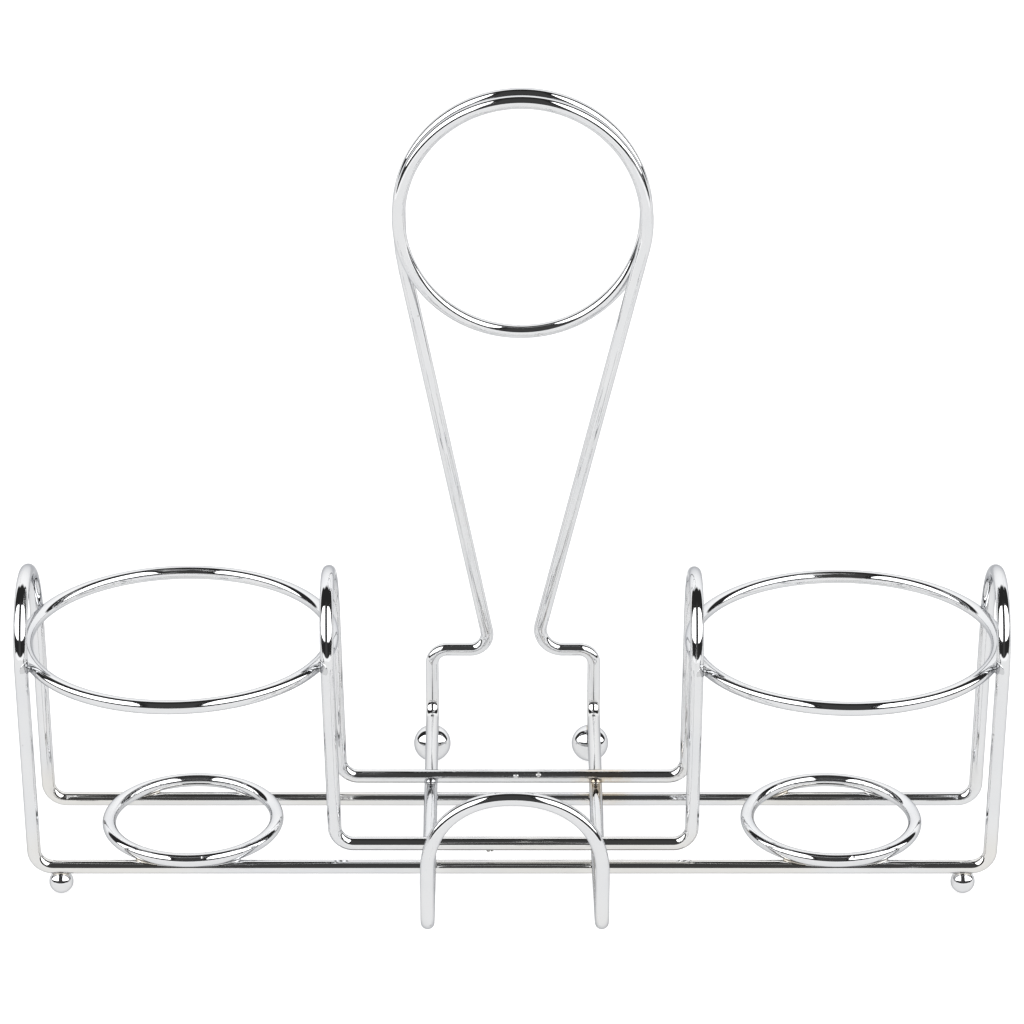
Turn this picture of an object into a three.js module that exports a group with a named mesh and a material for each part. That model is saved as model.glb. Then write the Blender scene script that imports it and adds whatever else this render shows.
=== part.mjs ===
// Tabletop condiment caddy bent from round bright wire and welded at the crossings.
// Millimetres, +Z up, +X to the right, the open arch of the base faces -Y.
// The dimensions below are laid out with Y = 0 on the middle of the two frames;
// the finished caddy is then moved so the origin sits under the middle of its box.

import * as THREE from 'three';

// ---- wire -----------------------------------------------------------------
const WIRE_D = 3.4;              // wire diameter
const WIRE_R = WIRE_D / 2;
const WIRE_SIDES = 12;           // flats round the wire
const LAY = 3.29;                // height between two wires lying across each other
const BEND_R = 4.0;              // tight bends, to the wire centreline
const FRAME_BEND_R = 4.6;        // bottom corners of the two frames
const REAR_BEND_R = 5.0;         // where the rails turn up into the handle
const BEND_STEP = 15;            // degrees per facet in a tight bend
const ARC_STEP = 11.25;          // degrees per facet in an arch

// ---- outer and inner frame ------------------------------------------------
const FRAME_HALF_DEPTH = 17.8;   // bar centreline to middle, both frames
const OUTER_BAR_Z = 6.95;        // outer bars, centreline above the table
const RAIL_Z = OUTER_BAR_Z + LAY;          // rails lie on the outer bars
const INNER_BAR_Z = RAIL_Z + LAY;          // inner bars lie on the rails
// each end arch: x at the bar, outward lean at the crown, crown centreline
const OUTER_LEFT = { x: -119.15, lean: -1.05, top: 78.55 };
const OUTER_RIGHT = { x: 119.2, lean: 1.0, top: 78.35 };
const INNER_LEFT = { x: -44.0, lean: -1.5, top: 78.2 };
const INNER_RIGHT = { x: 44.7, lean: 0.6, top: 77.8 };

// ---- bottle rings -----------------------------------------------------------
const UPPER_RING_R = 37.95;      // centreline radius
const UPPER_RING_X = 82.55;
const UPPER_LEFT = { z: 61.95, slopeX: 0, slopeY: 0 };
const UPPER_RIGHT = { z: 61.15, slopeX: 0.0118, slopeY: -0.0099 };
const UPPER_RING_FACETS = 40;
const LOWER_RING_R = 21.2;
const LOWER_RING_X = 80.85;
const LOWER_RING_Y = 0.8;
const LOWER_RING_FACETS = 32;

// ---- base wire: rails, front arch, rear upturns ---------------------------
const LEFT_RAIL = { front: -20.4, mid: -20.6, rear: -21.15 };  // x along the rails
const RIGHT_RAIL = { front: 21.75, mid: 21.4, rear: 21.7 };
const RAIL_MID_Y = -17.8;
const RAIL_BOW_R = 400;          // easy curve of a rail at its middle point
const ARCH_Y = -54.06;           // plane of the front arch
const ARCH_X = 0.0;              // crown of the front arch
const ARCH_SPRING_Z = 25.6;      // where its legs start to turn in
const ARCH_TOP_Z = 45.7;
const ARCH_FULLNESS = 2.18;      // 2 is an ellipse, more is fuller at the shoulders
const HANDLE_Y = 60.0;           // plane of the handle legs
const JOINT_Z = 17.0;            // butt weld between base and handle
const JOINT_GAP = 0.04;

// ---- handle -----------------------------------------------------------------
const SHOULDER_Z = 29.0;
const NECK_LEFT_X = -5.6;        // shoulder line meets the leg line here
const NECK_RIGHT_X = 5.9;
const NECK_LEFT_R = 4.4;
const NECK_RIGHT_R = 6.0;
const COIL_X = 2.65;
const COIL_Z = 151.15;
const COIL_R = 31.3;
const COIL_Y = 59.3;
const COIL_PITCH = 5.8;          // depth between two passes of the coil
const LEFT_LEG_CORNER_Z = 142.0; // where the left leg turns upright into the coil
const LEFT_LEG_CORNER_R = 70.0;
const COIL_STEP = 10;

// ---- ball feet --------------------------------------------------------------
const FOOT_FLAT = 0.14;          // depth of the flat each ball stands on
const FLAT_R = WIRE_R * Math.cos(Math.PI / WIRE_SIDES);   // axis to a flat of the wire
const FRONT_FOOT_X = 112.75;
const FRONT_FOOT_R = 3.0;
const FRONT_FOOT_TOP = OUTER_BAR_Z - FLAT_R;
const REAR_FOOT_LEFT_X = -21.15;
const REAR_FOOT_RIGHT_X = 20.7;
const REAR_FOOT_Y = 53.1;
const REAR_FOOT_R = 4.85;
const REAR_FOOT_TOP = RAIL_Z - FLAT_R;
const FOOT_AROUND = 18;
const FOOT_RINGS = 9;

const V = (x, y, z) => new THREE.Vector3(x, y, z);
const RAD = Math.PI / 180;

// Rounds the corners of a run of points; a corner with radius 0 stays as it is.
function rounded(corners, closed, stepDeg) {
  const out = [];
  const n = corners.length;
  corners.forEach((c, i) => {
    if (!c.r || (!closed && (i === 0 || i === n - 1))) { out.push(c.p.clone()); return; }
    const a = corners[(i - 1 + n) % n].p;
    const b = corners[(i + 1) % n].p;
    const u = a.clone().sub(c.p).normalize();
    const w = b.clone().sub(c.p).normalize();
    const open = Math.acos(THREE.MathUtils.clamp(u.dot(w), -1, 1));
    const turn = Math.PI - open;
    const mid = u.clone().add(w).normalize();
    const centre = c.p.clone().addScaledVector(mid, c.r / Math.sin(open / 2));
    const s = c.p.clone().addScaledVector(u, c.r / Math.tan(open / 2)).sub(centre);
    const e = c.p.clone().addScaledVector(w, c.r / Math.tan(open / 2)).sub(centre);
    const k = Math.max(2, Math.ceil(turn / (stepDeg * RAD)));
    for (let j = 0; j <= k; j++) {
      const f = j / k;
      const q = s.clone().multiplyScalar(Math.sin((1 - f) * turn) / Math.sin(turn));
      q.addScaledVector(e, Math.sin(f * turn) / Math.sin(turn));
      out.push(q.add(centre));
    }
  });
  return out;
}

// Sweeps the wire section along a run of points, as a closed loop or with two cut ends.
// phase 0.5 turns flats, phase 0 turns edges of the section to its own four sides.
function wire(points, closed, phase) {
  const n = points.length;
  const dir = (i, j) => points[j].clone().sub(points[i]).normalize();
  const tangents = points.map((_, i) => {
    if (closed) return dir((i - 1 + n) % n, i).add(dir(i, (i + 1) % n)).normalize();
    if (i === 0) return dir(0, 1);
    if (i === n - 1) return dir(n - 2, n - 1);
    return dir(i - 1, i).add(dir(i, i + 1)).normalize();
  });
  const t0 = tangents[0];
  const seed = Math.abs(t0.z) < 0.9 ? V(0, 0, 1) : V(1, 0, 0);
  const normals = [seed.sub(t0.clone().multiplyScalar(seed.dot(t0))).normalize()];
  const carry = (v, from, to) =>
    v.clone().applyQuaternion(new THREE.Quaternion().setFromUnitVectors(from, to));
  for (let i = 1; i < n; i++) normals.push(carry(normals[i - 1], tangents[i - 1], tangents[i]));
  const along = [0];
  for (let i = 1; i < n; i++) along.push(along[i - 1] + points[i].distanceTo(points[i - 1]));
  let twist = 0;
  const total = along[n - 1] + (closed ? points[0].distanceTo(points[n - 1]) : 0);
  if (closed) {
    const back = carry(normals[n - 1], tangents[n - 1], t0);
    const side = t0.clone().cross(normals[0]);
    twist = Math.atan2(back.dot(side), back.dot(normals[0]));
  }
  const position = [];
  points.forEach((p, i) => {
    const turn = -twist * (along[i] / total);
    const nrm = normals[i];
    const bin = tangents[i].clone().cross(nrm);
    for (let k = 0; k < WIRE_SIDES; k++) {
      const a = turn + (2 * Math.PI * (k + phase)) / WIRE_SIDES;
      const q = p.clone()
        .addScaledVector(nrm, WIRE_R * Math.cos(a))
        .addScaledVector(bin, WIRE_R * Math.sin(a));
      position.push(q.x, q.y, q.z);
    }
  });
  const index = [];
  const rows = closed ? n : n - 1;
  for (let i = 0; i < rows; i++) {
    const a = i * WIRE_SIDES;
    const b = ((i + 1) % n) * WIRE_SIDES;
    for (let k = 0; k < WIRE_SIDES; k++) {
      const l = (k + 1) % WIRE_SIDES;
      index.push(a + k, a + l, b + l, a + k, b + l, b + k);
    }
  }
  if (!closed) {
    const last = (n - 1) * WIRE_SIDES;
    for (let k = 1; k < WIRE_SIDES - 1; k++) {
      index.push(0, k + 1, k);
      index.push(last, last + k, last + k + 1);
    }
  }
  const geometry = new THREE.BufferGeometry();
  geometry.setAttribute('position', new THREE.Float32BufferAttribute(position, 3));
  geometry.setIndex(index);
  geometry.computeVertexNormals();
  return geometry;
}

// One closed frame: two long bars joined by an upright arch at each end.
function frame(left, right, barZ) {
  const d = FRAME_HALF_DEPTH;
  const steps = Math.round(180 / ARC_STEP);
  const arch = (end, way) => Array.from({ length: steps + 1 }, (_, i) => {
    const a = (Math.PI * i) / steps;
    return { p: V(end.x, -way * d * Math.cos(a), end.top - d + d * Math.sin(a)), r: 0 };
  });
  const corners = [
    { p: V(left.x, -d, barZ), r: FRAME_BEND_R }, { p: V(right.x, -d, barZ), r: FRAME_BEND_R },
    ...arch(right, 1),
    { p: V(right.x, d, barZ), r: FRAME_BEND_R }, { p: V(left.x, d, barZ), r: FRAME_BEND_R },
    ...arch(left, -1),
  ];
  const line = rounded(corners, true, BEND_STEP);
  line.forEach((p) => {
    const end = p.x < 0 ? left : right;
    p.x += end.lean * ((p.z - barZ) / (end.top - barZ));
  });
  return wire(line, true, 0.5);
}

function ring(x, y, set, r, facets, phase) {
  const line = Array.from({ length: facets }, (_, i) => {
    const a = (2 * Math.PI * i) / facets;
    const dx = r * Math.cos(a);
    const dy = r * Math.sin(a);
    return V(x + dx, y + dy, set.z + set.slopeX * dx + set.slopeY * dy);
  });
  return wire(line, true, phase);
}

// Rails under the inner bars, turned up into the arch in front and into the handle behind.
function base() {
  const steps = Math.round(180 / ARC_STEP);
  const arch = Array.from({ length: steps + 1 }, (_, i) => {
    const a = Math.PI * (1 - i / steps);
    const c = Math.cos(a);
    const foot = c < 0 ? LEFT_RAIL.front : RIGHT_RAIL.front;
    const out = (foot - ARCH_X) * Math.abs(c) ** (2 / ARCH_FULLNESS);
    const up = (ARCH_TOP_Z - ARCH_SPRING_Z) * Math.sin(a) ** (2 / ARCH_FULLNESS);
    return { p: V(ARCH_X + out, ARCH_Y, ARCH_SPRING_Z + up), r: 0 };
  });
  arch[0].p.set(LEFT_RAIL.front, ARCH_Y, ARCH_SPRING_Z);
  arch[steps].p.set(RIGHT_RAIL.front, ARCH_Y, ARCH_SPRING_Z);
  const corners = [
    { p: V(LEFT_RAIL.rear, HANDLE_Y, JOINT_Z), r: 0 },
    { p: V(LEFT_RAIL.rear, HANDLE_Y, RAIL_Z), r: REAR_BEND_R },
    { p: V(LEFT_RAIL.mid, RAIL_MID_Y, RAIL_Z), r: RAIL_BOW_R },
    { p: V(LEFT_RAIL.front, ARCH_Y, RAIL_Z), r: BEND_R },
    ...arch,
    { p: V(RIGHT_RAIL.front, ARCH_Y, RAIL_Z), r: BEND_R },
    { p: V(RIGHT_RAIL.mid, RAIL_MID_Y, RAIL_Z), r: RAIL_BOW_R },
    { p: V(RIGHT_RAIL.rear, HANDLE_Y, RAIL_Z), r: REAR_BEND_R },
    { p: V(RIGHT_RAIL.rear, HANDLE_Y, JOINT_Z), r: 0 },
  ];
  return wire(rounded(corners, false, BEND_STEP), false, 0.5);
}

// Legs, shoulders and neck rising into a coil of a turn and a half that grips a card.
function handle() {
  const dx = COIL_X - NECK_RIGHT_X;
  const dz = COIL_Z - SHOULDER_Z;
  const far = Math.hypot(dx, dz);
  const aim = Math.atan2(dz, dx) - Math.asin(COIL_R / far);
  const reach = Math.sqrt(far * far - COIL_R * COIL_R);
  const touchX = NECK_RIGHT_X + reach * Math.cos(aim);
  const touchZ = SHOULDER_Z + reach * Math.sin(aim);
  const start = Math.PI;
  const end = Math.atan2(touchZ - COIL_Z, touchX - COIL_X) - 2 * Math.PI;
  const middle = (start + end) / 2;
  const steps = Math.ceil((start - end) / (COIL_STEP * RAD) - 0.5);
  const coil = Array.from({ length: steps + 1 }, (_, i) => {
    const a = i === steps ? end : start - COIL_STEP * RAD * i;
    const y = COIL_Y + (COIL_PITCH * (a - middle)) / (2 * Math.PI);
    return { p: V(COIL_X + COIL_R * Math.cos(a), y, COIL_Z + COIL_R * Math.sin(a)), r: 0 };
  });
  const rearY = coil[0].p.y;
  const z = JOINT_Z + JOINT_GAP;
  const corners = [
    { p: V(LEFT_RAIL.rear, HANDLE_Y, z), r: 0 },
    { p: V(LEFT_RAIL.rear, HANDLE_Y, SHOULDER_Z), r: BEND_R },
    { p: V(NECK_LEFT_X, HANDLE_Y, SHOULDER_Z), r: NECK_LEFT_R },
    { p: V(COIL_X - COIL_R, rearY, LEFT_LEG_CORNER_Z), r: LEFT_LEG_CORNER_R },
    ...coil,
    { p: V(NECK_RIGHT_X, HANDLE_Y, SHOULDER_Z), r: NECK_RIGHT_R },
    { p: V(RIGHT_RAIL.rear, HANDLE_Y, SHOULDER_Z), r: BEND_R },
    { p: V(RIGHT_RAIL.rear, HANDLE_Y, z), r: 0 },
  ];
  return wire(rounded(corners, false, BEND_STEP), false, 0);
}

// A ball cut level where it meets the underside of a wire; it stands on a small flat.
function foot(x, y, r, top) {
  const cz = r - FOOT_FLAT;
  const low = Math.asin(-cz / r);
  const high = Math.asin((top - cz) / r);
  const profile = [new THREE.Vector2(0, 0)];
  for (let i = 0; i <= FOOT_RINGS; i++) {
    const a = low + ((high - low) * i) / FOOT_RINGS;
    const z = i === 0 ? 0 : i === FOOT_RINGS ? top : cz + r * Math.sin(a);
    profile.push(new THREE.Vector2(r * Math.cos(a), z));
  }
  profile.push(new THREE.Vector2(0, top));
  const geometry = new THREE.LatheGeometry(profile, FOOT_AROUND);
  geometry.rotateX(Math.PI / 2);
  geometry.translate(x, y, 0);
  return geometry;
}

const chrome = (name, roughness) => new THREE.MeshStandardMaterial({
  name, color: 0xd9dbde, metalness: 1.0, roughness,
});

const low = { z: RAIL_Z, slopeX: 0, slopeY: 0 };
const pieces = [
  ['outer_frame', frame(OUTER_LEFT, OUTER_RIGHT, OUTER_BAR_Z), 0.08],
  ['inner_frame', frame(INNER_LEFT, INNER_RIGHT, INNER_BAR_Z), 0.08],
  ['upper_ring_left', ring(-UPPER_RING_X, 0, UPPER_LEFT, UPPER_RING_R, UPPER_RING_FACETS, 0), 0.07],
  ['upper_ring_right', ring(UPPER_RING_X, 0, UPPER_RIGHT, UPPER_RING_R, UPPER_RING_FACETS, 0), 0.07],
  ['lower_ring_left', ring(-LOWER_RING_X, LOWER_RING_Y, low, LOWER_RING_R, LOWER_RING_FACETS, 0.5), 0.07],
  ['lower_ring_right', ring(LOWER_RING_X, LOWER_RING_Y, low, LOWER_RING_R, LOWER_RING_FACETS, 0.5), 0.07],
  ['base_wire', base(), 0.08],
  ['handle_wire', handle(), 0.08],
  ['front_foot_left', foot(-FRONT_FOOT_X, -FRAME_HALF_DEPTH, FRONT_FOOT_R, FRONT_FOOT_TOP), 0.05],
  ['front_foot_right', foot(FRONT_FOOT_X, -FRAME_HALF_DEPTH, FRONT_FOOT_R, FRONT_FOOT_TOP), 0.05],
  ['rear_foot_left', foot(REAR_FOOT_LEFT_X, REAR_FOOT_Y, REAR_FOOT_R, REAR_FOOT_TOP), 0.05],
  ['rear_foot_right', foot(REAR_FOOT_RIGHT_X, REAR_FOOT_Y, REAR_FOOT_R, REAR_FOOT_TOP), 0.05],
];

const box = new THREE.Box3();
pieces.forEach(([, geometry]) => {
  geometry.computeBoundingBox();
  box.union(geometry.boundingBox);
});
const centre = box.getCenter(new THREE.Vector3());

const caddy = new THREE.Group();
caddy.name = 'condiment_caddy';
pieces.forEach(([name, geometry, roughness]) => {
  geometry.translate(-centre.x, -centre.y, -box.min.z);
  const mesh = new THREE.Mesh(geometry, chrome(`${name}_chrome`, roughness));
  mesh.name = name;
  caddy.add(mesh);
});

export default caddy;
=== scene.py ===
import math

import bpy
import numpy as np
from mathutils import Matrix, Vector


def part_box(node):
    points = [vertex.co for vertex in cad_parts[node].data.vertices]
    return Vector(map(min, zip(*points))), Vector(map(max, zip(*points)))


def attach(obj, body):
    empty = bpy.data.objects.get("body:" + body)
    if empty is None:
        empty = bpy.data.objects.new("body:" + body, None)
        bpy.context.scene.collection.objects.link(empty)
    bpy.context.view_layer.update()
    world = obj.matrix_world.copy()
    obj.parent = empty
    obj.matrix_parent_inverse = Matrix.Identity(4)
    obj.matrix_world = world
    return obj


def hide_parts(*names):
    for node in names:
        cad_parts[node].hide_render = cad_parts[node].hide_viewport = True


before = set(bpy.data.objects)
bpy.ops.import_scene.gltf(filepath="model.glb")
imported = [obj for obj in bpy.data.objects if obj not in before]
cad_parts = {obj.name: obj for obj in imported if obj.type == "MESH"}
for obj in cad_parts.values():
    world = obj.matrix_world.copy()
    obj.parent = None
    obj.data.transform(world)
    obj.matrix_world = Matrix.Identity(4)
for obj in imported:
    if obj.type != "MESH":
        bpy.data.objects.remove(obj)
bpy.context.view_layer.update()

# ---------------------------------------------------------------------------
# Layout, in millimetres. Y = 0 is the middle of the two frames here, and
# ROW_Y carries everything to the part's own origin.
# ---------------------------------------------------------------------------
MM = 0.001
_lo, _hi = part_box("outer_frame")
ROW_Y = (_lo[1] + _hi[1]) / 2 / MM

WIRE_R = 1.7
SIDES = 40
BEND_R = 4.0
FRAME_BEND_R = 4.6
REAR_BEND_R = 5.0

HALF_DEPTH = 17.8
OUTER_BAR_Z = 6.95
RAIL_Z = 10.24
INNER_BAR_Z = 13.53
# each end arch: x at the bar, lean at the crown, crown height
OUTER_LEFT = (-119.15, -1.05, 78.55)
OUTER_RIGHT = (119.2, 1.0, 78.35)
INNER_LEFT = (-44.0, -1.5, 78.2)
INNER_RIGHT = (44.7, 0.6, 77.8)

UPPER_R = 37.95
UPPER_X = 82.55
# height of each ring and its slope along x and y
UPPER_LEFT = (61.95, 0.0, 0.0)
UPPER_RIGHT = (61.15, 0.0118, -0.0099)
LOWER_R = 21.2
LOWER_X = 80.85
LOWER_Y = 0.8
LOWER = (RAIL_Z, 0.0, 0.0)

# x of each rail at the front arch, at its middle point and at the handle
LEFT_RAIL = (-20.4, -20.6, -21.15)
RIGHT_RAIL = (21.75, 21.4, 21.7)
RAIL_MID_Y = -17.8
RAIL_BOW_R = 400.0
ARCH_Y = -54.0
ARCH_X = 0.0
ARCH_SPRING_Z = 25.6
ARCH_TOP_Z = 45.7
ARCH_FULLNESS = 2.18
HANDLE_Y = 60.0
JOINT_Z = 17.0

SHOULDER_Z = 29.0
NECK_LEFT_X = -5.6
NECK_RIGHT_X = 5.9
NECK_LEFT_R = 4.4
NECK_RIGHT_R = 6.0
COIL_X = 2.65
COIL_Y = 59.3
COIL_Z = 151.15
COIL_R = 31.3
COIL_PITCH = 5.8
LEFT_LEG_CORNER_Z = 142.0
LEFT_LEG_CORNER_R = 70.0

FOOT_FLAT = 0.14
FRONT_FOOT_X = 112.75
FRONT_FOOT_R = 3.0
REAR_FOOT_X = (-21.15, 20.7)
REAR_FOOT_Y = 53.1
REAR_FOOT_R = 4.85

scene = bpy.context.scene


# ---------------------------------------------------------------------------
# Wire centrelines
# ---------------------------------------------------------------------------
def unit(v):
    v = np.asarray(v, float)
    return v / np.linalg.norm(v)


def rounded(corners, closed, step):
    """Run of points with its corners filleted: corners are (x, y, z, radius)."""
    pts = [np.array(c[:3], float) for c in corners]
    n = len(pts)
    out = []
    for i, c in enumerate(corners):
        p, r = pts[i], c[3]
        if not r or (not closed and i in (0, n - 1)):
            out.append(p)
            continue
        u = unit(pts[i - 1] - p)
        w = unit(pts[(i + 1) % n] - p)
        opening = math.acos(max(-1.0, min(1.0, float(u @ w))))
        turn = math.pi - opening
        centre = p + unit(u + w) * (r / math.sin(opening / 2))
        s = p + u * (r / math.tan(opening / 2)) - centre
        e = p + w * (r / math.tan(opening / 2)) - centre
        k = max(2, math.ceil(turn / math.radians(step)))
        for j in range(k + 1):
            f = j / k
            out.append(centre + s * (math.sin((1 - f) * turn) / math.sin(turn))
                       + e * (math.sin(f * turn) / math.sin(turn)))
    return np.array(out)


def spread(points, closed, longest=5.0):
    """Adds points along the straight runs, so no span is longer than asked."""
    out = []
    n = len(points)
    for i in range(n if closed else n - 1):
        a, b = points[i], points[(i + 1) % n]
        k = max(1, math.ceil(np.linalg.norm(b - a) / longest))
        for j in range(k):
            out.append(a + (b - a) * (j / k))
    if not closed:
        out.append(points[-1])
    return np.array(out)


def frame_line(left, right, bar_z):
    d = HALF_DEPTH

    def arch(end, way):
        return [(end[0], -way * d * math.cos(a), end[2] - d + d * math.sin(a), 0)
                for a in np.linspace(0, math.pi, 73)]

    corners = [(left[0], -d, bar_z, FRAME_BEND_R), (right[0], -d, bar_z, FRAME_BEND_R),
               *arch(right, 1),
               (right[0], d, bar_z, FRAME_BEND_R), (left[0], d, bar_z, FRAME_BEND_R),
               *arch(left, -1)]
    line = spread(rounded(corners, True, 5), True)
    for end, part in ((left, line[:, 0] < 0), (right, line[:, 0] >= 0)):
        line[part, 0] += end[1] * (line[part, 2] - bar_z) / (end[2] - bar_z)
    return line


def ring_line(x, y, lie, r):
    a = np.linspace(0, 2 * math.pi, 160, endpoint=False)
    dx, dy = r * np.cos(a), r * np.sin(a)
    return np.stack([x + dx, y + dy, lie[0] + lie[1] * dx + lie[2] * dy], 1)


def base_line():
    arch = []
    for a in np.linspace(math.pi, 0, 91):
        c, up = math.cos(a), max(0.0, math.sin(a))
        foot = LEFT_RAIL[0] if c < 0 else RIGHT_RAIL[0]
        arch.append((ARCH_X + (foot - ARCH_X) * abs(c) ** (2 / ARCH_FULLNESS), ARCH_Y,
                     ARCH_SPRING_Z + (ARCH_TOP_Z - ARCH_SPRING_Z) * up ** (2 / ARCH_FULLNESS), 0))
    (lf, lm, lr), (rf, rm, rr) = LEFT_RAIL, RIGHT_RAIL
    corners = [(lr, HANDLE_Y, JOINT_Z, 0),
               (lr, HANDLE_Y, RAIL_Z, REAR_BEND_R),
               (lm, RAIL_MID_Y, RAIL_Z, RAIL_BOW_R),
               (lf, ARCH_Y, RAIL_Z, BEND_R),
               *arch,
               (rf, ARCH_Y, RAIL_Z, BEND_R),
               (rm, RAIL_MID_Y, RAIL_Z, RAIL_BOW_R),
               (rr, HANDLE_Y, RAIL_Z, REAR_BEND_R),
               (rr, HANDLE_Y, JOINT_Z, 0)]
    return spread(rounded(corners, False, 5), False)


def handle_line():
    dx, dz = COIL_X - NECK_RIGHT_X, COIL_Z - SHOULDER_Z
    far = math.hypot(dx, dz)
    aim = math.atan2(dz, dx) - math.asin(COIL_R / far)
    reach = math.sqrt(far * far - COIL_R * COIL_R)
    tx, tz = NECK_RIGHT_X + reach * math.cos(aim), SHOULDER_Z + reach * math.sin(aim)
    start = math.pi
    end = math.atan2(tz - COIL_Z, tx - COIL_X) - 2 * math.pi
    middle = (start + end) / 2
    step = math.radians(2.5)
    turns = [start - step * i for i in range(int((start - end) / step - 0.5) + 1)] + [end]
    coil = []
    for a in turns:
        y = COIL_Y + COIL_PITCH * (a - middle) / (2 * math.pi)
        coil.append((COIL_X + COIL_R * math.cos(a), y, COIL_Z + COIL_R * math.sin(a), 0))
    rear_y = coil[0][1]
    left, right = LEFT_RAIL[2], RIGHT_RAIL[2]
    corners = [(left, HANDLE_Y, JOINT_Z, 0),
               (left, HANDLE_Y, SHOULDER_Z, BEND_R),
               (NECK_LEFT_X, HANDLE_Y, SHOULDER_Z, NECK_LEFT_R),
               (COIL_X - COIL_R, rear_y, LEFT_LEG_CORNER_Z, LEFT_LEG_CORNER_R),
               *coil,
               (NECK_RIGHT_X, HANDLE_Y, SHOULDER_Z, NECK_RIGHT_R),
               (right, HANDLE_Y, SHOULDER_Z, BEND_R),
               (right, HANDLE_Y, JOINT_Z, 0)]
    return spread(rounded(corners, False, 4), False)


# ---------------------------------------------------------------------------
# Meshes
# ---------------------------------------------------------------------------
def to_row(points):
    p = np.array(points, float)
    p[:, 1] += ROW_Y
    return p * MM


def make_object(name, verts_mm, faces, coord=None, flat=()):
    mesh = bpy.data.meshes.new(name)
    mesh.from_pydata([tuple(v) for v in to_row(verts_mm)], [], faces)
    mesh.validate()
    mesh.polygons.foreach_set("use_smooth", [True] * len(mesh.polygons))
    for i in flat:
        mesh.polygons[i].use_smooth = False
        for k in mesh.polygons[i].loop_indices:
            mesh.edges[mesh.loops[k].edge_index].use_edge_sharp = True
    if coord is not None:
        layer = mesh.attributes.new("wire_co", "FLOAT_VECTOR", "POINT")
        layer.data.foreach_set("vector", (np.asarray(coord) * MM).ravel())
    mesh.update()
    obj = bpy.data.objects.new(name, mesh)
    scene.collection.objects.link(obj)
    return obj


def rotate_between(v, a, b):
    """Carries v along with the smallest turn from direction a to direction b."""
    axis = np.cross(a, b)
    s, c = np.linalg.norm(axis), float(a @ b)
    if s < 1e-12:
        return v
    k = axis / s
    return v * c + np.cross(k, v) * s + k * (k @ v) * (1 - c)


def wire(name, line, closed, radius=WIRE_R):
    """Round wire swept along a centreline; wire_co holds its straightened coordinates."""
    n = len(line)
    seg = np.roll(line, -1, 0) - line
    seg = seg if closed else seg[:-1]
    length = np.linalg.norm(seg, axis=1)
    d = seg / length[:, None]
    if closed:
        tan = np.roll(d, 1, 0) + d
    else:
        tan = np.vstack([d[:1], d[:-1] + d[1:], d[-1:]])
    tan /= np.linalg.norm(tan, axis=1)[:, None]
    seed = np.array([0, 0, 1.0]) if abs(tan[0, 2]) < 0.9 else np.array([1.0, 0, 0])
    nrm = [unit(seed - tan[0] * (seed @ tan[0]))]
    for i in range(1, n):
        v = rotate_between(nrm[-1], tan[i - 1], tan[i])
        nrm.append(unit(v - tan[i] * (v @ tan[i])))
    nrm = np.array(nrm)
    along = np.concatenate([[0], np.cumsum(length)])[:n]
    twist = 0.0
    if closed:
        back = rotate_between(nrm[-1], tan[-1], tan[0])
        twist = math.atan2(back @ np.cross(tan[0], nrm[0]), back @ nrm[0])
    turn = -twist * along / length.sum()
    bi = np.cross(tan, nrm)
    ang = 2 * math.pi * np.arange(SIDES) / SIDES
    th = ang[None, :] + turn[:, None]
    off = nrm[:, None, :] * np.cos(th)[..., None] + bi[:, None, :] * np.sin(th)[..., None]
    verts = (line[:, None, :] + radius * off).reshape(-1, 3)
    coord = np.stack([np.repeat(along[:, None], SIDES, 1),
                      np.tile(radius * np.cos(ang), (n, 1)),
                      np.tile(radius * np.sin(ang), (n, 1))], -1).reshape(-1, 3)
    faces = []
    for i in range(n if closed else n - 1):
        a, b = i * SIDES, ((i + 1) % n) * SIDES
        for k in range(SIDES):
            m = (k + 1) % SIDES
            faces.append((a + k, a + m, b + m, b + k))
    if not closed:
        faces.append(tuple(range(SIDES - 1, -1, -1)))
        faces.append(tuple((n - 1) * SIDES + k for k in range(SIDES)))
    ends = () if closed else (len(faces) - 2, len(faces) - 1)
    return make_object(name, verts, faces, coord, ends)


def ball(name, x, y, r):
    """Ball with a small worn flat under it; its top is sunk into the wire it carries."""
    cz = r - FOOT_FLAT
    low = math.acos((r - FOOT_FLAT) / r)
    around, rows = 64, 40
    profile = [(r * math.sin(low) * f, 0.0) for f in (0.35, 0.7, 0.9)]
    for a in np.linspace(-math.pi / 2 + low, math.pi / 2, rows)[:-1]:
        profile.append((r * math.cos(a), max(0.0, cz + r * math.sin(a))))
    verts = [(x, y, 0.0)]
    for rho, z in profile:
        for k in range(around):
            a = 2 * math.pi * k / around
            verts.append((x + rho * math.cos(a), y + rho * math.sin(a), z))
    verts.append((x, y, cz + r))
    faces = []
    for k in range(around):
        faces.append((0, 1 + (k + 1) % around, 1 + k))
    for i in range(len(profile) - 1):
        a, b = 1 + i * around, 1 + (i + 1) * around
        for k in range(around):
            m = (k + 1) % around
            faces.append((a + k, a + m, b + m, b + k))
    a, last = 1 + (len(profile) - 1) * around, len(verts) - 1
    for k in range(around):
        faces.append((a + k, a + (k + 1) % around, last))
    return make_object(name, verts, faces)


# Distances to the pieces, used to grow the weld fillets between them.
def d_line(p0, direction, r=WIRE_R):
    p0, u = np.asarray(p0, float), unit(direction)

    def f(p):
        v = p - p0
        v = v - (v @ u)[..., None] * u
        return np.linalg.norm(v, axis=-1) - r
    return f


def d_ring(cx, cy, lie, ring_r, r=WIRE_R):
    def f(p):
        dx, dy = p[..., 0] - cx, p[..., 1] - cy
        up = p[..., 2] - (lie[0] + lie[1] * dx + lie[2] * dy)
        return np.hypot(np.hypot(dx, dy) - ring_r, up) - r
    return f


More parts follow.
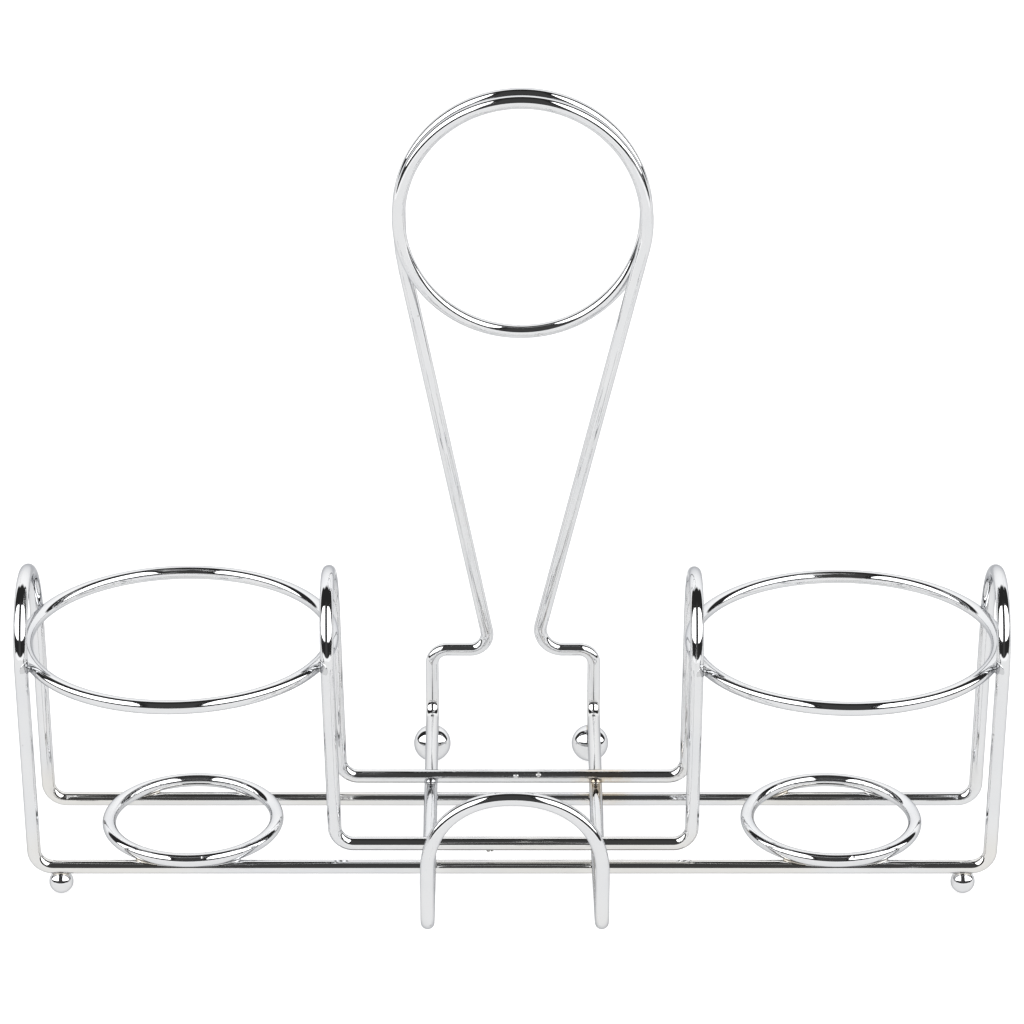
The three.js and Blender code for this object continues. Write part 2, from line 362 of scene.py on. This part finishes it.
def d_ball(c, r):
    c = np.asarray(c, float)

    def f(p):
        return np.linalg.norm(p - c, axis=-1) - r
    return f


def blended(fa, fb, k, inset):
    def f(p):
        a, b = fa(p), fb(p)
        h = np.maximum(k - np.abs(a - b), 0) / k
        return np.minimum(a, b) - h ** 3 * k / 6 + inset
    return f


def surface_net(f, centre, reach, h):
    """Closed quad mesh of f = 0 inside a ball round centre."""
    centre = np.asarray(centre, float)

    def g(p):
        return np.maximum(f(p), np.linalg.norm(p - centre, axis=-1) - reach)

    m = int(math.ceil(reach / h)) + 2
    axis = (np.arange(-m, m + 1) + 0.31) * h
    grid = np.stack(np.meshgrid(axis, axis, axis, indexing="ij"), -1) + centre
    val = g(grid)
    inside = val < 0
    n = len(axis) - 1
    total = np.zeros((n, n, n, 3))
    count = np.zeros((n, n, n))
    corner = [(i, j, k) for i in (0, 1) for j in (0, 1) for k in (0, 1)]
    for a in corner:
        for b in corner:
            if sum(b) - sum(a) != 1 or any(q < p for p, q in zip(a, b)):
                continue
            sl = lambda c: tuple(slice(q, q + n) for q in c)
            va, vb = val[sl(a)], val[sl(b)]
            cross = (va < 0) != (vb < 0)
            t = np.where(cross, va / np.where(cross, va - vb, 1), 0)
            p = grid[sl(a)] + (grid[sl(b)] - grid[sl(a)]) * t[..., None]
            total += np.where(cross[..., None], p, 0)
            count += cross
    used = count > 0
    index = np.full((n, n, n), -1)
    index[used] = np.arange(used.sum())
    verts = total[used] / count[used][:, None]
    for _ in range(3):
        v0 = g(verts)
        grad = np.stack([(g(verts + e) - g(verts - e)) / 2e-3
                         for e in np.eye(3) * 1e-3], -1)
        step = v0 / np.maximum((grad ** 2).sum(-1), 0.2)
        verts = verts - grad * np.clip(step, -h / 2, h / 2)[:, None]
    faces = []
    for ax in range(3):
        o1, o2 = [(1, 2), (2, 0), (0, 1)][ax]
        s0, s1 = [slice(1, n)] * 3, [slice(1, n)] * 3
        s0[ax], s1[ax] = slice(0, n), slice(1, n + 1)
        a, b = inside[tuple(s0)], inside[tuple(s1)]
        for i, j, k in np.argwhere(a != b):
            c = [i + 1, j + 1, k + 1]
            c[ax] -= 1
            quad = []
            for du, dv in ((0, 0), (1, 0), (1, 1), (0, 1)):
                q = list(c)
                q[o1] -= du
                q[o2] -= dv
                quad.append(int(index[tuple(q)]))
            if not a[i, j, k]:
                quad.reverse()
            faces.append(tuple(quad))
    return verts, faces


def weld_group(name, welds):
    """One piece holding several weld fillets: each is (fa, fb, centre, blend, reach)."""
    verts, faces = [], []
    base = 0
    for fa, fb, centre, k, reach in welds:
        v, q = surface_net(blended(fa, fb, k, 0.02), centre, reach, 0.15)
        verts.append(v)
        faces += [tuple(i + base for i in face) for face in q]
        base += len(v)
    return make_object(name, np.vstack(verts), faces)


# ---------------------------------------------------------------------------
# Materials
# ---------------------------------------------------------------------------
class Nodes:
    """Small helper for node trees: add() makes a node, link() wires it."""

    def __init__(self, tree):
        self.tree = tree
        tree.nodes.clear()

    def add(self, kind, **settings):
        node = self.tree.nodes.new(kind)
        for key, value in settings.items():
            if key == "inputs":
                for name, v in value.items():
                    node.inputs[name].default_value = v
            else:
                setattr(node, key, value)
        return node

    def link(self, a, b):
        self.tree.links.new(a, b)

    def math(self, op, a, b=None, clamp=False):
        node = self.add("ShaderNodeMath", operation=op, use_clamp=clamp)
        for i, v in enumerate((a, b)):
            if v is None:
                continue
            if isinstance(v, (int, float)):
                node.inputs[i].default_value = v
            else:
                self.link(v, node.inputs[i])
        return node.outputs[0]

    def smooth(self, value, lo, hi, out_lo=0.0, out_hi=1.0):
        node = self.add("ShaderNodeMapRange", interpolation_type="SMOOTHSTEP")
        self.link(value, node.inputs["Value"])
        node.inputs["From Min"].default_value = lo
        node.inputs["From Max"].default_value = hi
        node.inputs["To Min"].default_value = out_lo
        node.inputs["To Max"].default_value = out_hi
        return node.outputs["Result"]


HEAT_SPOT = (0.0235, (HALF_DEPTH + ROW_Y) * MM, 0.0125)  # browned weld, right rail at the back


def chrome(name, drawn, low_tint=None, peel=0.04, base=0.64, rough=(0.035, 0.075)):
    """Bright plated chrome: cloudy tint, faint draw lines or orange peel, a few pits.

    The low tint argument is a warmer, a little darker colour laid in noisy patches on the wire lowest down,
    fading out between 12 and 20 mm above the table; peel is the height of its finest ripple."""
    mat = bpy.data.materials.new(name)
    mat.use_nodes = True
    t = Nodes(mat.node_tree)
    out = t.add("ShaderNodeOutputMaterial")
    bsdf = t.add("ShaderNodeBsdfPrincipled")
    bsdf.inputs["Metallic"].default_value = 1.0
    bsdf.inputs["Specular Tint"].default_value = (0.48, 0.49, 0.51, 1.0)
    t.link(bsdf.outputs["BSDF"], out.inputs["Surface"])

    if drawn:
        co = t.add("ShaderNodeAttribute", attribute_name="wire_co").outputs["Vector"]
        stretch = (18.0, 900.0, 900.0)
    else:
        co = t.add("ShaderNodeTexCoord").outputs["Object"]
        stretch = (420.0, 420.0, 420.0)

    def mapped(scale):
        node = t.add("ShaderNodeMapping", vector_type="POINT")
        t.link(co, node.inputs["Vector"])
        node.inputs["Scale"].default_value = scale
        return node.outputs["Vector"]

    def noise(vector, scale, detail=2.0, rough=0.5):
        node = t.add("ShaderNodeTexNoise")
        t.link(vector, node.inputs["Vector"])
        node.inputs["Scale"].default_value = scale
        node.inputs["Detail"].default_value = detail
        node.inputs["Roughness"].default_value = rough
        return node.outputs["Fac"]

    cloud = noise(mapped((1.0, 1.0, 1.0)), 90.0, 3.0)
    lines = noise(mapped(stretch), 1.0, 3.0, 0.6)
    fine = noise(mapped((1.0, 1.0, 1.0)), 700.0, 2.0)

    vor = t.add("ShaderNodeTexVoronoi", feature="F1")
    t.link(mapped((1.0, 1.0, 1.0)), vor.inputs["Vector"])
    vor.inputs["Scale"].default_value = 260.0
    pick = t.add("ShaderNodeSeparateColor")
    t.link(vor.outputs["Color"], pick.inputs["Color"])
    chosen = t.smooth(pick.outputs["Red"], 0.80, 0.84)
    spot = t.smooth(vor.outputs["Distance"], 0.05, 0.13, 1.0, 0.0)
    pit = t.math("MULTIPLY", chosen, spot)

    tint = t.add("ShaderNodeValToRGB")
    t.link(cloud, tint.inputs["Fac"])
    tint.color_ramp.elements[0].position = 0.3
    tint.color_ramp.elements[0].color = (base - 0.015, base - 0.008, base + 0.005, 1)
    tint.color_ramp.elements[1].position = 0.72
    tint.color_ramp.elements[1].color = (base + 0.015, base + 0.017, base + 0.022, 1)
    plate = tint.outputs["Color"]
    if low_tint:
        # warmer, a little darker colour in noisy patches, fading out between 12 and 20 mm up; brown round
        # HEAT_SPOT
        place_co = t.add("ShaderNodeTexCoord").outputs["Object"]
        axes = t.add("ShaderNodeSeparateXYZ")
        t.link(place_co, axes.inputs["Vector"])
        near = t.smooth(axes.outputs["Z"], 0.012, 0.020, 1.0, 0.0)
        patch = t.smooth(noise(place_co, 22.0, 2.0), 0.38, 0.66)
        warm = t.add("ShaderNodeMix", data_type="RGBA")
        t.link(t.math("MULTIPLY", near, patch), warm.inputs["Factor"])
        t.link(plate, warm.inputs[6])
        warm.inputs[7].default_value = low_tint
        far = t.add("ShaderNodeVectorMath", operation="DISTANCE")
        t.link(place_co, far.inputs[0])
        far.inputs[1].default_value = HEAT_SPOT
        burnt = t.math("MULTIPLY", t.smooth(far.outputs["Value"], 0.002, 0.010, 1.0, 0.0),
                       t.smooth(fine, 0.25, 0.65, 0.35, 1.0))
        brown = t.add("ShaderNodeMix", data_type="RGBA")
        t.link(burnt, brown.inputs["Factor"])
        t.link(warm.outputs[2], brown.inputs[6])
        brown.inputs[7].default_value = (0.60, 0.54, 0.45, 1)
        plate = brown.outputs[2]
    dark = t.add("ShaderNodeMix", data_type="RGBA")
    t.link(pit, dark.inputs["Factor"])
    t.link(plate, dark.inputs[6])
    dark.inputs[7].default_value = (0.50, 0.50, 0.50, 1)
    t.link(dark.outputs[2], bsdf.inputs["Base Color"])

    dull = t.smooth(lines, 0.3, 0.75, *rough)
    dull = t.math("ADD", dull, t.math("MULTIPLY", pit, 0.22))
    if drawn:
        # scuffed streaks along the wire
        streak = t.smooth(noise(mapped((70.0, 1800.0, 1800.0)), 1.0, 2.0), 0.54, 0.68)
        where = t.smooth(noise(mapped((1.0, 1.0, 1.0)), 26.0, 1.0), 0.47, 0.60)
        dull = t.math("ADD", dull, t.math("MULTIPLY", t.math("MULTIPLY", streak, where), 0.26))
    t.link(dull, bsdf.inputs["Roughness"])

    height = t.math("MULTIPLY", lines, 0.08)
    height = t.math("ADD", height, t.math("MULTIPLY", cloud, 0.16))
    height = t.math("ADD", height, t.math("MULTIPLY", fine, peel))
    height = t.math("SUBTRACT", height, t.math("MULTIPLY", pit, 1.4))
    bump = t.add("ShaderNodeBump")
    bump.inputs["Strength"].default_value = 0.35
    bump.inputs["Distance"].default_value = 0.00006
    t.link(height, bump.inputs["Height"])
    t.link(bump.outputs["Normal"], bsdf.inputs["Normal"])
    return mat


WIRE_CHROME = chrome("wire_chrome_plate", True)
# frame, rail and weld plate take a warmer, a little darker tint in patches low down
FRAME_CHROME = chrome("frame_chrome_plate", True, (0.645, 0.635, 0.614, 1))
RAIL_CHROME = chrome("rail_chrome_plate", True, (0.640, 0.640, 0.638, 1))
BALL_CHROME = chrome("ball_chrome_plate", False)
WELD_CHROME = chrome("weld_chrome_plate", False, (0.50, 0.47, 0.42, 1), 0.8,
                     0.52, (0.12, 0.26))


# ---------------------------------------------------------------------------
# The caddy
# ---------------------------------------------------------------------------
def place(obj, material, node=None):
    obj.data.materials.append(material)
    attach(obj, "root")
    if node:
        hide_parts(node)
    return obj


place(wire("outer_frame_wire", frame_line(OUTER_LEFT, OUTER_RIGHT, OUTER_BAR_Z), True),
      FRAME_CHROME, "outer_frame")
place(wire("inner_frame_wire", frame_line(INNER_LEFT, INNER_RIGHT, INNER_BAR_Z), True),
      FRAME_CHROME, "inner_frame")
for side, sx, lie in (("left", -1, UPPER_LEFT), ("right", 1, UPPER_RIGHT)):
    place(wire(f"upper_ring_{side}_wire", ring_line(sx * UPPER_X, 0, lie, UPPER_R), True),
          WIRE_CHROME, f"upper_ring_{side}")
    place(wire(f"lower_ring_{side}_wire", ring_line(sx * LOWER_X, LOWER_Y, LOWER, LOWER_R), True),
          WIRE_CHROME, f"lower_ring_{side}")
place(wire("base_wire_bent", base_line(), False), RAIL_CHROME, "base_wire")
place(wire("handle_wire_bent", handle_line(), False, WIRE_R - 0.01),
      WIRE_CHROME, "handle_wire")
for i, (side, sx) in enumerate((("left", -1), ("right", 1))):
    place(ball(f"front_foot_{side}_ball", sx * FRONT_FOOT_X, -HALF_DEPTH, FRONT_FOOT_R),
          BALL_CHROME, f"front_foot_{side}")
    place(ball(f"rear_foot_{side}_ball", REAR_FOOT_X[i], REAR_FOOT_Y, REAR_FOOT_R),
          BALL_CHROME, f"rear_foot_{side}")


# Weld fillets, one piece for each kind of joint.
def rail_x(rail, y):
    return float(np.interp(y, (ARCH_Y, RAIL_MID_Y, HANDLE_Y), rail))


def leg_x(end, bar_z, z):
    return end[0] + end[1] * (z - bar_z) / (end[2] - bar_z)


upper, lower, rails, feet = [], [], [], []
for sx, lie, ends, rail, rear_x in (
        (-1, UPPER_LEFT, (OUTER_LEFT, INNER_LEFT), LEFT_RAIL, REAR_FOOT_X[0]),
        (1, UPPER_RIGHT, (OUTER_RIGHT, INNER_RIGHT), RIGHT_RAIL, REAR_FOOT_X[1])):
    d_upper = d_ring(sx * UPPER_X, 0, lie, UPPER_R)
    d_lower = d_ring(sx * LOWER_X, LOWER_Y, LOWER, LOWER_R)
    for end, bar_z in zip(ends, (OUTER_BAR_Z, INNER_BAR_Z)):
        for sy in (-1, 1):
            u = unit((leg_x(end, bar_z, lie[0]) - sx * UPPER_X, sy * HALF_DEPTH, 0)) * (UPPER_R + WIRE_R)
            z = lie[0] + lie[1] * u[0] + lie[2] * u[1]
            d_leg = d_line((leg_x(end, bar_z, z), sy * HALF_DEPTH, z), (end[1] / (end[2] - bar_z), 0, 1))
            upper.append((d_upper, d_leg, (sx * UPPER_X + u[0], u[1], z), 1.1, 3.0))
    for sy in (-1, 1):
        bar = d_line((0, sy * HALF_DEPTH, OUTER_BAR_Z), (1, 0, 0))
        dx = math.sqrt(LOWER_R ** 2 - (sy * HALF_DEPTH - LOWER_Y) ** 2)
        for way in (-1, 1):
            lower.append((d_lower, bar, (sx * LOWER_X + way * dx, sy * HALF_DEPTH,
                                         (OUTER_BAR_Z + RAIL_Z) / 2), 1.2, 3.0))
    for y in (-HALF_DEPTH, HALF_DEPTH):
        d_rail = d_line((rail_x(rail, y), y, RAIL_Z), (rail_x(rail, y + 1) - rail_x(rail, y - 1), 2, 0))
        for bar_z in (OUTER_BAR_Z, INNER_BAR_Z):
            rails.append((d_rail, d_line((0, y, bar_z), (1, 0, 0)),
                          (rail_x(rail, y), y, (RAIL_Z + bar_z) / 2), 1.2, 2.9))
    feet.append((d_ball((sx * FRONT_FOOT_X, -HALF_DEPTH, FRONT_FOOT_R - FOOT_FLAT), FRONT_FOOT_R),
                 d_line((0, -HALF_DEPTH, OUTER_BAR_Z), (1, 0, 0)),
                 (sx * FRONT_FOOT_X, -HALF_DEPTH, 5.6), 0.7, 2.3))
    feet.append((d_ball((rear_x, REAR_FOOT_Y, REAR_FOOT_R - FOOT_FLAT), REAR_FOOT_R),
                 d_line((rail_x(rail, REAR_FOOT_Y), REAR_FOOT_Y, RAIL_Z),
                        (rail_x(rail, 53) - rail_x(rail, 52), 1, 0)),
                 (rear_x + 0.4 * (rail_x(rail, REAR_FOOT_Y) - rear_x), REAR_FOOT_Y, 9.2), 0.8, 3.0))

# spatter left on the inner bars
rear_bar = d_line((0, HALF_DEPTH, INNER_BAR_Z), (1, 0, 0))
front_bar = d_line((0, -HALF_DEPTH, INNER_BAR_Z), (1, 0, 0))
for x, y, z, r, d_bar in ((1.0, HALF_DEPTH - 1.45, INNER_BAR_Z + 0.75, 0.42, rear_bar),
                          (6.8, HALF_DEPTH - 1.25, INNER_BAR_Z + 1.05, 0.40, rear_bar),
                          (-5.9, -HALF_DEPTH - 0.35, INNER_BAR_Z - 1.75, 0.45, front_bar),
                          (-5.0, -HALF_DEPTH - 0.45, INNER_BAR_Z - 1.62, 0.36, front_bar)):
    rails.append((d_ball((x, y, z), r), d_bar, (x, y, z), 0.5, 0.95))

place(weld_group("welds_upper_rings", upper), WELD_CHROME)
place(weld_group("welds_lower_rings", lower), WELD_CHROME)
place(weld_group("welds_rails", rails), WELD_CHROME)
place(weld_group("welds_feet", feet), WELD_CHROME)


# ---------------------------------------------------------------------------
# Floor, light and camera
# ---------------------------------------------------------------------------
def floor():
    mesh = bpy.data.meshes.new("studio_floor")
    w, s, k = 0.75, 9.0, 12
    verts = [(-w + 2 * w * i / k, -s + 2 * s * j / k, -0.00005) for j in range(k + 1) for i in range(k + 1)]
    faces = [(j * (k + 1) + i, j * (k + 1) + i + 1, (j + 1) * (k + 1) + i + 1, (j + 1) * (k + 1) + i)
             for j in range(k) for i in range(k)]
    mesh.from_pydata(verts, [], faces)
    obj = bpy.data.objects.new("studio_floor", mesh)
    scene.collection.objects.link(obj)
    mat = bpy.data.materials.new("white_paper")
    mat.use_nodes = True
    t = Nodes(mat.node_tree)
    out = t.add("ShaderNodeOutputMaterial")
    bsdf = t.add("ShaderNodeBsdfPrincipled")
    bsdf.inputs["Roughness"].default_value = 0.9
    bsdf.inputs["Specular IOR Level"].default_value = 0.0
    bsdf.inputs["Emission Color"].default_value = (1.0, 1.0, 1.0, 1.0)
    bsdf.inputs["Emission Strength"].default_value = 0.76
    t.link(bsdf.outputs["BSDF"], out.inputs["Surface"])
    grain = t.add("ShaderNodeTexNoise")
    grain.inputs["Scale"].default_value = 260.0
    t.link(t.add("ShaderNodeTexCoord").outputs["Object"], grain.inputs["Vector"])
    ramp = t.add("ShaderNodeValToRGB")
    ramp.color_ramp.elements[0].color = (0.34, 0.34, 0.338, 1)
    ramp.color_ramp.elements[1].color = (0.37, 0.37, 0.368, 1)
    t.link(grain.outputs["Fac"], ramp.inputs["Fac"])
    t.link(ramp.outputs["Color"], bsdf.inputs["Base Color"])
    mesh.materials.append(mat)


floor()

PANEL = 3.6      # the two soft boxes either side of the camera
BACKDROP = 1.45  # white paper behind
ROOM = 0.03      # unlit studio above and in front
GAP = 0.07       # wall between the soft boxes


def studio():
    world = bpy.data.worlds.new("studio")
    scene.world = world
    world.use_nodes = True
    t = Nodes(world.node_tree)
    out = t.add("ShaderNodeOutputWorld")
    bg = t.add("ShaderNodeBackground")
    t.link(bg.outputs["Background"], out.inputs["Surface"])
    sep = t.add("ShaderNodeSeparateXYZ")
    t.link(t.add("ShaderNodeTexCoord").outputs["Generated"], sep.inputs["Vector"])
    x, y, z = sep.outputs
    wide = t.math("ABSOLUTE", x)
    # white backdrop behind, its upper edge 29 degrees past overhead
    t0 = math.radians(119)
    rear = t.math("ADD", t.math("MULTIPLY", y, math.sin(t0)), t.math("MULTIPLY", z, math.cos(t0)))
    narrow = t.math("ADD", t.math("MULTIPLY", t.math("MAXIMUM", z, 0.0), 0.55), 0.6)
    side = t.math("SUBTRACT", y, t.math("MULTIPLY", wide, narrow))
    back = t.math("MULTIPLY", t.smooth(rear, -0.06, 0.06), t.smooth(side, -0.05, 0.05))
    # white paper running forward to the front edge of the table
    low = t.smooth(t.math("ADD", z, t.math("MULTIPLY", t.math("POWER", wide, 12.0), 0.25)), 0.05, 0.075, 1.0, 0.0)
    white = t.math("MAXIMUM", back, low)
    # two soft boxes, left and right of the camera
    ahead = t.math("MAXIMUM", t.math("MULTIPLY", y, -1.0), 0.0)
    bottom = t.math("SUBTRACT", z, t.math("MULTIPLY", ahead, math.tan(math.radians(28))))
    bottom = t.math("SUBTRACT", bottom, t.math("MULTIPLY", t.math("POWER", wide, 4.0), 0.12))
    reach = t.math("SUBTRACT", y, t.math("MULTIPLY", t.math("POWER", wide, 2.0), 0.38))
    left = t.math("SUBTRACT", t.math("MULTIPLY", x, -1.0), t.math("MULTIPLY", t.math("SUBTRACT", 3.60, z), 0.12))
    right = t.math("SUBTRACT", x, t.math("MULTIPLY", t.math("SUBTRACT", 4.20, z), 0.08))
    apart = t.math("MAXIMUM", left, right)
    panel = t.math("MULTIPLY", t.smooth(bottom, -0.008, 0.008), t.smooth(reach, -0.155, -0.135, 1.0, 0.0))
    panel = t.math("MULTIPLY", panel, t.smooth(apart, 0.0, 0.012))
    # a little light on the wall between them
    dim = t.math("MULTIPLY", t.smooth(apart, -0.10, -0.04, 1.0, 0.0), t.smooth(y, -0.3, 0.1, 1.0, 0.0))
    room = t.math("ADD", t.math("MULTIPLY", dim, GAP - ROOM), ROOM)
    level = t.math("ADD", t.math("MULTIPLY", white, BACKDROP - ROOM), room)
    mix = t.add("ShaderNodeMix", data_type="FLOAT")
    t.link(panel, mix.inputs["Factor"])
    t.link(level, mix.inputs["A"])
    mix.inputs["B"].default_value = PANEL
    path = t.add("ShaderNodeLightPath")
    seen = t.add("ShaderNodeMix", data_type="FLOAT")
    t.link(path.outputs["Is Camera Ray"], seen.inputs["Factor"])
    t.link(mix.outputs["Result"], seen.inputs["A"])
    seen.inputs["B"].default_value = 1.0
    t.link(seen.outputs["Result"], bg.inputs["Strength"])
    bg.inputs["Color"].default_value = (1, 1, 1, 1)


studio()

camera = bpy.data.cameras.new("camera")
camera.sensor_fit = "HORIZONTAL"
camera.sensor_width = 36.0
camera.lens = 4145.0 * 36.0 / 1024.0
camera.clip_start = 0.01
camera.clip_end = 100.0
cam = bpy.data.objects.new("camera", camera)
cam.location = (0.0, (-924.03 + ROW_Y) * MM, 0.51591)
cam.rotation_euler = (math.radians(90 - 24.43), 0.0, 0.0)
scene.collection.objects.link(cam)
scene.camera = cam

scene.view_settings.view_transform = "Standard"
scene.view_settings.look = "None"
